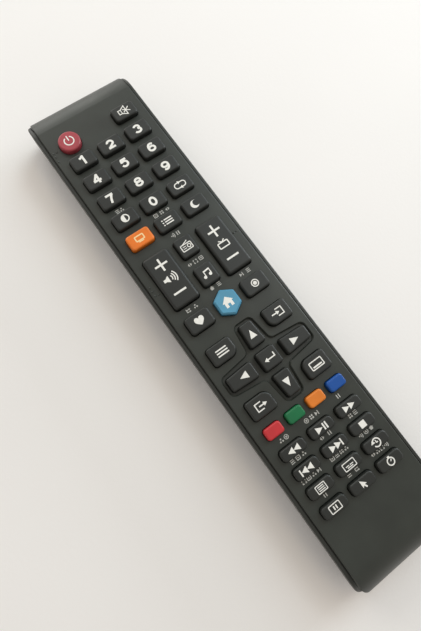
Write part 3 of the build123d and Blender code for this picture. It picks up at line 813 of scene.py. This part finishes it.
    def clock_back(self) -> Mark:
        """A dial with hands in an arrow that turns back."""
        return [
            Stroke(arc(0, 0, 1.4, 1.4, 150, -150, 26), self.pen),
            Plate(line((-2.05, 0.15), (-0.45, 0.15), (-1.25, 1.2))),
            Stroke(line((0, 0.85), (0, 0), (0.65, 0)), self.fine),
        ]

    def still(self) -> Mark:
        """A film frame with two bars."""
        bars = [block(-0.85, -0.8, -0.3, 0.8), block(0.3, -0.8, 0.85, 0.8)]
        return [frame_line(-2.5, -1.5, 2.5, 1.5, 0.3, self.slim), *bars]

    def pointer(self) -> Mark:
        """A slanted pointing arrow."""
        head = line((-0.95, 1.6), (1.35, -0.35), (0.35, -0.45))
        tail = line((0.95, -1.55), (0.4, -1.8), (-0.2, -0.7), (-0.95, -1.3))
        return [Plate(joined(head, tail))]

    def stopwatch(self) -> Mark:
        """A dial with one hand and a crown."""
        hand = Stroke(line((0, -0.2), (0.6, 0.5)), self.fine)
        return [ring(0, -0.2, 1.3, 1.3, self.pen), block(-0.45, 1.3, 0.45, 1.7), hand]


@dataclass(frozen=True)
class SmallSigns:
    """Small generic signs for the second functions, each about 1.7 mm across, printed in rows on the face."""

    pen: float = 0.3
    fine: float = 0.24

    def lines(self) -> Mark:
        """A short list."""
        return [block(-0.8, y - 0.15, 0.8, y + 0.15) for y in (-0.65, 0.0, 0.65)]

    def frames(self) -> Mark:
        """A picture in a frame."""
        return [frame_line(-0.75, -0.7, 0.75, 0.7, 0.15, self.pen), block(-0.28, -0.22, 0.28, 0.22)]

    def waves(self) -> Mark:
        """Waves that spread from a dot."""
        spread = [Stroke(arc(-0.65, 0, r, r, -48, 48, 8), self.pen) for r in (0.75, 1.35)]
        return [disc(-0.6, 0, 0.26, 12), *spread]

    def wide(self) -> Mark:
        """Two arrowheads that point apart."""
        return [wedge(-0.2, 0, -0.7, 0.7), wedge(0.2, 0, 0.7, 0.7)]

    def hut(self) -> Mark:
        """A small house."""
        left = line((-0.95, -0.05), (-0.6, -0.05), (-0.6, -0.8))
        right = line((0.6, -0.8), (0.6, -0.05), (0.95, -0.05))
        return [Plate(joined(left, right, line((0, 0.9))))]

    def branches(self) -> Mark:
        """A stem with two leaves, as in a folder tree."""
        stem = Stroke(line((-0.65, 0.85), (-0.65, -0.6), (0.1, -0.6)), self.pen)
        twig = Stroke(line((-0.65, 0.3), (0.1, 0.3)), self.pen)
        return [stem, twig, block(0.2, -0.85, 0.85, -0.35), block(0.2, 0.05, 0.85, 0.55)]

    def leap(self) -> Mark:
        """An arrowhead up to a bar."""
        return [wedge(-0.75, 0, 1.0, 0.75), block(0.45, -0.8, 0.78, 0.8)]

    def dots(self) -> Mark:
        """Three dots in a triangle."""
        return [disc(x, y, 0.32, 12) for x, y in ((-0.5, -0.45), (0.5, -0.45), (0.0, 0.45))]

    def cross(self) -> Mark:
        """A small cross in a ring."""
        return [
            ring(0, 0, 0.8, 0.8, self.fine),
            Stroke(line((-0.34, -0.34), (0.34, 0.34)), self.fine),
            Stroke(line((-0.34, 0.34), (0.34, -0.34)), self.fine),
        ]

    def pair(self) -> Mark:
        """Two upright bars."""
        return [block(-0.65, -0.8, -0.25, 0.8), block(0.25, -0.8, 0.65, 0.8)]

    def grid(self) -> Mark:
        """Four small squares."""
        return [block(x - 0.3, y - 0.3, x + 0.3, y + 0.3) for x in (-0.45, 0.45) for y in (-0.45, 0.45)]

    def corners(self) -> Mark:
        """The four corners of a picture."""
        turns = ((-1, -1), (1, -1), (1, 1), (-1, 1))
        paths = [line((x * 0.7, y * 0.15), (x * 0.7, y * 0.7), (x * 0.25, y * 0.7)) for x, y in turns]
        return [Stroke(path, self.pen) for path in paths]


@dataclass
class Printer:
    """Turns marks into thin meshes that lie on a key or on the face."""

    thickness: float = 0.03
    sunk: float = 0.02
    step: float = 0.0035

    def print_on(self, name: str, body: str, marks: list[Placed], height: float, ink: Ink) -> None:
        """Makes one mesh of several marks and lets it ride on a body.

        Each mark's plan is scaled about its middle and moved to its place; each piece of it stands a
        step higher than the one before, so that no two tops share a plane.

        Args:
            name: the new object's name.
            body: the frame body that carries it.
            marks: each mark with its place across and along, and its scale.
            height: the height of the surface under it, in millimetres.
            ink: the ink.
        """
        corners: list[np.ndarray] = []
        faces: list[list[int]] = []
        total = 0
        for mark, across, along, scale in marks:
            for index, piece in enumerate(mark):
                top = height + self.thickness + index * self.step
                points, polygons = piece.solid(height - self.sunk, top)
                points[:, :2] = points[:, :2] * scale + np.array([across, along])
                corners.append(points)
                faces += [[corner + total for corner in polygon] for polygon in polygons]
                total += len(points)
        mesh = bpy.data.meshes.new(name)
        mesh.from_pydata((np.concatenate(corners) * MM).tolist(), [], faces)
        mesh.update()
        mesh.validate()
        piece = bpy.data.objects.new(name, mesh)
        bpy.context.scene.collection.objects.link(piece)
        dress(piece, ink)
        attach(piece, body)


@dataclass
class Case:
    """The two case halves and the battery door."""

    finishes: dict[str, Plastic] = field(
        default_factory=lambda: {
            "top_shell": CASE_BLACK,
            "bottom_shell": TRAY_BLACK,
            "battery_door": TRAY_BLACK,
        }
    )

    def build(self, nodes: dict[str, bpy.types.Object]) -> None:
        """Dresses the case's nodes.

        Args:
            nodes: the frame's nodes by name.
        """
        for name, finish in self.finishes.items():
            dress(nodes[name], finish)
            log.info("dressed %s", name)


@dataclass
class Insides:
    """What lies between the case halves."""

    finishes: dict[str, Finish] = field(
        default_factory=lambda: {
            "keypad_mat": SILICONE,
            "circuit_board": BOARD_GREEN,
            "infrared_led": EMITTER_RESIN,
            "controller_chip": CHIP_BLACK,
            "resonator": RESONATOR_OCHRE,
            "capacitor": SLEEVE_DARK,
            "battery_contacts": CONTACT_STEEL,
            "battery_cells": CELL_SLEEVE,
        }
    )

    def build(self, nodes: dict[str, bpy.types.Object]) -> None:
        """Dresses the inner nodes.

        Args:
            nodes: the frame's nodes by name.
        """
        for name, finish in self.finishes.items():
            dress(nodes[name], finish)
            log.info("dressed %s", name)


@dataclass
class Keypad:
    """The keys' plastics and the legends printed on them."""

    key_top: float = 22.5
    plus_along: float = 6.5
    sign_along: float = 0.05
    minus_along: float = -6.3
    drawn_in: dict[str, float] = field(default_factory=lambda: {"left_key": 0.6, "right_key": -0.6})
    coloured: dict[str, Plastic] = field(
        default_factory=lambda: {
            "power_key": POWER_RED,
            "home_key": HOME_BLUE,
            "screen_key": KEY_ORANGE,
            "red_key": ROSE_RED,
            "green_key": KEY_GREEN,
            "orange_key": KEY_AMBER,
            "blue_key": KEY_BLUE,
        }
    )
    inks: dict[str, Ink] = field(default_factory=lambda: {"screen_key": CREAM_INK})
    numerals: Numerals = Numerals()
    signs: Pictograms = Pictograms()
    printer: Printer = field(default_factory=Printer)

    def legends(self) -> dict[str, tuple[Mark, float]]:
        """Lists each push key's sign and its scale."""
        signs = self.signs
        found = {f"digit_{figure}_key": (self.numerals.draw(figure), 1.0) for figure in range(10)}
        found.update(
            power_key=(signs.power(), 0.95),
            mute_key=(signs.mute(), 1.0),
            picture_key=(signs.contrast(), 1.2),
            swap_key=(signs.swap(), 1.05),
            screen_key=(signs.screen(), 0.85),
            guide_key=(signs.listing(), 1.0),
            sleep_key=(signs.moon(), 1.2),
            radio_key=(signs.radio_set(), 0.92),
            audio_key=(signs.note(), 1.05),
            favourite_key=(signs.heart(), 1.15),
            home_key=(signs.house(), 1.12),
            record_key=(signs.record(), 1.0),
            menu_key=(signs.menu(), 1.0),
            source_key=(signs.inlet(), 1.0),
            exit_key=(signs.outlet(), 1.0),
            display_key=(signs.panel(), 1.0),
            enter_key=(signs.confirm(), 0.95),
            up_key=(signs.arrow(0, 1), 0.84),
            down_key=(signs.arrow(0, -1), 0.84),
            left_key=(signs.arrow(-1, 0), 0.84),
            right_key=(signs.arrow(1, 0), 0.84),
            rewind_key=(signs.rewind(), 1.0),
            play_pause_key=(signs.play_pause(), 1.0),
            fast_forward_key=(signs.forward(), 1.0),
            previous_key=(signs.previous(), 1.0),
            next_key=(signs.following(), 1.0),
            stop_key=(signs.stop(), 1.0),
            text_key=(signs.page(), 0.9),
            subtitle_key=(signs.captions(), 0.9),
            time_shift_key=(signs.clock_back(), 1.1),
            freeze_key=(signs.still(), 0.9),
            pointer_key=(signs.pointer(), 0.95),
            timer_key=(signs.stopwatch(), 1.05),
        )
        return found

    def middle(self, name: str) -> Point:
        """Gives a node's middle across and along, in millimetres."""
        low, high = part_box(name)
        across, along = [(low[axis] + high[axis]) / 2 / MM for axis in (0, 1)]
        return across, along

    def build(self, nodes: dict[str, bpy.types.Object]) -> None:
        """Dresses every key and prints its legend.

        Args:
            nodes: the frame's nodes by name.
        """
        keys = [name for name in nodes if name.endswith(("_key", "_rocker"))]
        for name in keys:
            dress(nodes[name], self.coloured.get(name, KEY_BLACK))
        for name, (mark, scale) in self.legends().items():
            across, along = self.middle(name)
            across += self.drawn_in.get(name, 0.0)
            ink = self.inks.get(name, WHITE_INK)
            self.printer.print_on(f"{name}_legend", name, [(mark, across, along, scale)], self.key_top, ink)
            log.info("dressed %s and printed its legend", name)
        rockers = {"volume_rocker": self.signs.loudspeaker(), "channel_rocker": self.signs.antenna_set()}
        for name, sign in rockers.items():
            across, along = self.middle(name)
            marks = [
                (self.signs.plus(), across, along + self.plus_along, 1.0),
                (sign, across, along + self.sign_along, 1.0),
                (self.signs.minus(), across, along + self.minus_along, 1.0),
            ]
            self.printer.print_on(f"{name}_legend", name, marks, self.key_top, WHITE_INK)
            log.info("dressed %s and printed its legend", name)


@dataclass
class FaceLegends:
    """The small grey signs printed on the face beside the keys."""

    face: float = 20.3
    sign_width: float = 1.7
    signs: SmallSigns = SmallSigns()
    printer: Printer = field(default_factory=Printer)

    def rows(self) -> list[tuple[list[Mark], float, float, float]]:
        """Lists each row's signs, its place across and along the face, and its width."""
        signs = self.signs
        return [
            ([signs.lines(), signs.dots()], -12.8, 56.05, 3.6),
            ([signs.frames(), signs.grid(), signs.wide()], 0.6, 46.1, 7.3),
            ([signs.waves(), signs.pair()], -0.15, 35.25, 4.0),
            ([signs.wide(), signs.corners(), signs.frames()], -0.25, 21.45, 7.0),
            ([signs.hut(), signs.lines()], 0.3, 8.8, 5.0),
            ([signs.branches(), signs.dots()], -12.4, 6.7, 5.0),
            ([signs.leap(), signs.lines()], 13.1, 6.75, 5.0),
            ([signs.dots(), signs.cross()], -13.3, -52.2, 4.0),
            ([signs.cross(), signs.grid(), signs.leap()], -0.15, -52.2, 6.6),
            ([signs.pair()], 12.8, -52.2, 2.3),
            ([signs.lines(), signs.frames(), signs.dots()], -13.1, -60.45, 6.8),
            ([signs.wide(), signs.pair()], 0.0, -60.45, 5.2),
            ([signs.grid(), signs.lines()], 13.1, -60.45, 4.0),
            ([signs.corners(), signs.frames(), signs.dots(), signs.leap()], -13.1, -68.2, 8.6),
            ([signs.frames(), signs.lines(), signs.grid(), signs.dots()], 0.0, -68.2, 8.2),
            ([signs.waves(), signs.cross(), signs.hut()], 13.1, -68.2, 6.7),
            ([signs.pair()], -13.1, -76.1, 2.3),
            ([signs.lines(), signs.branches()], 0.0, -76.1, 5.2),
            ([signs.wide(), signs.dots(), signs.corners(), signs.waves()], 13.1, -76.1, 8.0),
        ]

    def build(self) -> None:
        """Prints all the rows as one piece on the case, each row's signs spread over its width."""
        marks = []
        for signs, across, along, width in self.rows():
            half = (width - self.sign_width) / 2 if len(signs) > 1 else 0.0
            spread = np.linspace(-half, half, len(signs))
            marks += [(sign, across + offset, along, 1.0) for sign, offset in zip(signs, spread)]
        self.printer.print_on("face_legends", "case", marks, self.face, GREY_INK)
        log.info("printed %d signs on the face", len(marks))


@dataclass(frozen=True)
class Lamp:
    """A flat square lamp that faces the handset; a bounced one leaves no gloss."""

    name: str
    place: tuple[float, float, float]
    size: float
    energy: float
    colour: Colour
    bounced: bool = False

    def hang(self) -> None:
        """Makes the lamp, turned so that its face looks at the frame's origin."""
        data = bpy.data.lights.new(self.name, "AREA")
        data.size = self.size
        data.energy = self.energy
        data.color = self.colour
        lamp = bpy.data.objects.new(self.name, data)
        place = np.array(self.place)
        back = place / np.linalg.norm(place)
        side = np.cross((0.0, 0.0, 1.0), back)
        side /= np.linalg.norm(side)
        turn = np.column_stack([side, np.cross(back, side), back])
        lamp.matrix_world = Matrix.Translation(place.tolist()) @ Matrix(turn.tolist()).to_4x4()
        lamp.visible_glossy = not self.bounced
        bpy.context.scene.collection.objects.link(lamp)


@dataclass
class Studio:
    """Pale floor, soft light and the camera.

    The eye's place is in millimetres. The lens and the shift come from the photograph's focal length and
    principal point, both in pixels of its height.
    """

    floor_half: float = 1.6
    floor_colour: Colour = (0.962, 0.956, 0.952)
    floor_dark: float = 0.985
    floor_clouds: float = 6.0
    floor_grain: float = 700.0
    floor_depth: float = 0.00004
    floor_roughness: float = 0.85
    eye: tuple[float, float, float] = (-39.47, -25.14, 184.06)
    right: tuple[float, float, float] = (0.8089, -0.5845, 0.0636)
    up: tuple[float, float, float] = (0.5586, 0.7978, 0.2270)
    photo_height: float = 631.0
    focal_pixels: float = 440.6
    shift_pixels: float = 1.5
    sensor: float = 36.0
    clip_start: float = 0.01
    sky_strength: float = 0.49
    sky_colour: Colour = (1.0, 0.935, 0.875)
    lamps: tuple[Lamp, ...] = (
        Lamp("window", (0.80, 0.40, 0.72), 0.6, 3.4, (0.70, 0.89, 1.0)),
        Lamp("ceiling", (0.30, 0.20, 1.25), 0.4, 1.3, (1.0, 0.79, 0.50), bounced=True),
        Lamp("panel", (0.66, 0.20, 1.02), 0.35, 1.5, (1.0, 0.99, 0.93)),
        Lamp("far_window", (-0.04, 1.15, 0.50), 0.9, 5.9, (1.0, 1.0, 0.96)),
        Lamp("side_strip", (1.05, 0.02, 0.30), 0.25, 4.0, (0.90, 0.95, 1.0)),
    )

    def floor(self) -> None:
        """Lays the floor: one large sheet of faintly mottled card."""
        half = self.floor_half
        mesh = bpy.data.meshes.new("floor")
        corners = [(-half, -half, 0), (half, -half, 0), (half, half, 0), (-half, half, 0)]
        mesh.from_pydata(corners, [], [(0, 1, 2, 3)])
        floor = bpy.data.objects.new("floor", mesh)
        bpy.context.scene.collection.objects.link(floor)
        graph = Graph("floor_card")
        cloud = graph.span(graph.noise(self.floor_clouds, 3.0), 0.0, 1.0)
        colour = graph.blend(cloud, self.floor_colour, shade(self.floor_colour, self.floor_dark))
        shader = graph.add("ShaderNodeBsdfPrincipled", Roughness=self.floor_roughness)
        graph.join(colour, shader.inputs["Base Color"])
        grain = graph.bump(graph.noise(self.floor_grain, 3.0), self.floor_depth)
        graph.join(grain, shader.inputs["Normal"])
        mesh.materials.append(graph.close(shader))

    def light(self) -> None:
        """Sets an even sky and hangs the lamps."""
        world = bpy.data.worlds.new("sky")
        world.use_nodes = True
        backdrop = world.node_tree.nodes["Background"]
        backdrop.inputs["Color"].default_value = (*self.sky_colour, 1.0)
        backdrop.inputs["Strength"].default_value = self.sky_strength
        bpy.context.scene.world = world
        for lamp in self.lamps:
            lamp.hang()

    def camera(self) -> None:
        """Places the camera at the photograph's viewpoint."""
        data = bpy.data.cameras.new("camera")
        data.lens = self.focal_pixels / self.photo_height * self.sensor
        data.shift_y = self.shift_pixels / self.photo_height
        data.clip_start = self.clip_start
        camera = bpy.data.objects.new("camera", data)
        right = np.array(self.right) / np.linalg.norm(self.right)
        up = np.array(self.up) - right * np.dot(self.up, right)
        up /= np.linalg.norm(up)
        turn = np.column_stack([right, up, np.cross(right, up)])
        place = Matrix.Translation((np.array(self.eye) * MM).tolist())
        camera.matrix_world = place @ Matrix(turn.tolist()).to_4x4()
        bpy.context.scene.collection.objects.link(camera)
        bpy.context.scene.camera = camera

    def build(self) -> None:
        """Lays the floor and sets up light, camera and view."""
        self.floor()
        self.light()
        self.camera()
        bpy.context.scene.view_settings.view_transform = "Standard"
        log.info("set up the studio")


def main() -> None:
    """Builds everything in order."""
    logging.basicConfig(level=logging.INFO, format="%(message)s")
    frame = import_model()
    nodes = frame["nodes"]
    Case().build(nodes)
    Insides().build(nodes)
    Keypad().build(nodes)
    FaceLegends().build()
    Studio().build()


if __name__ == "__main__":
    main()
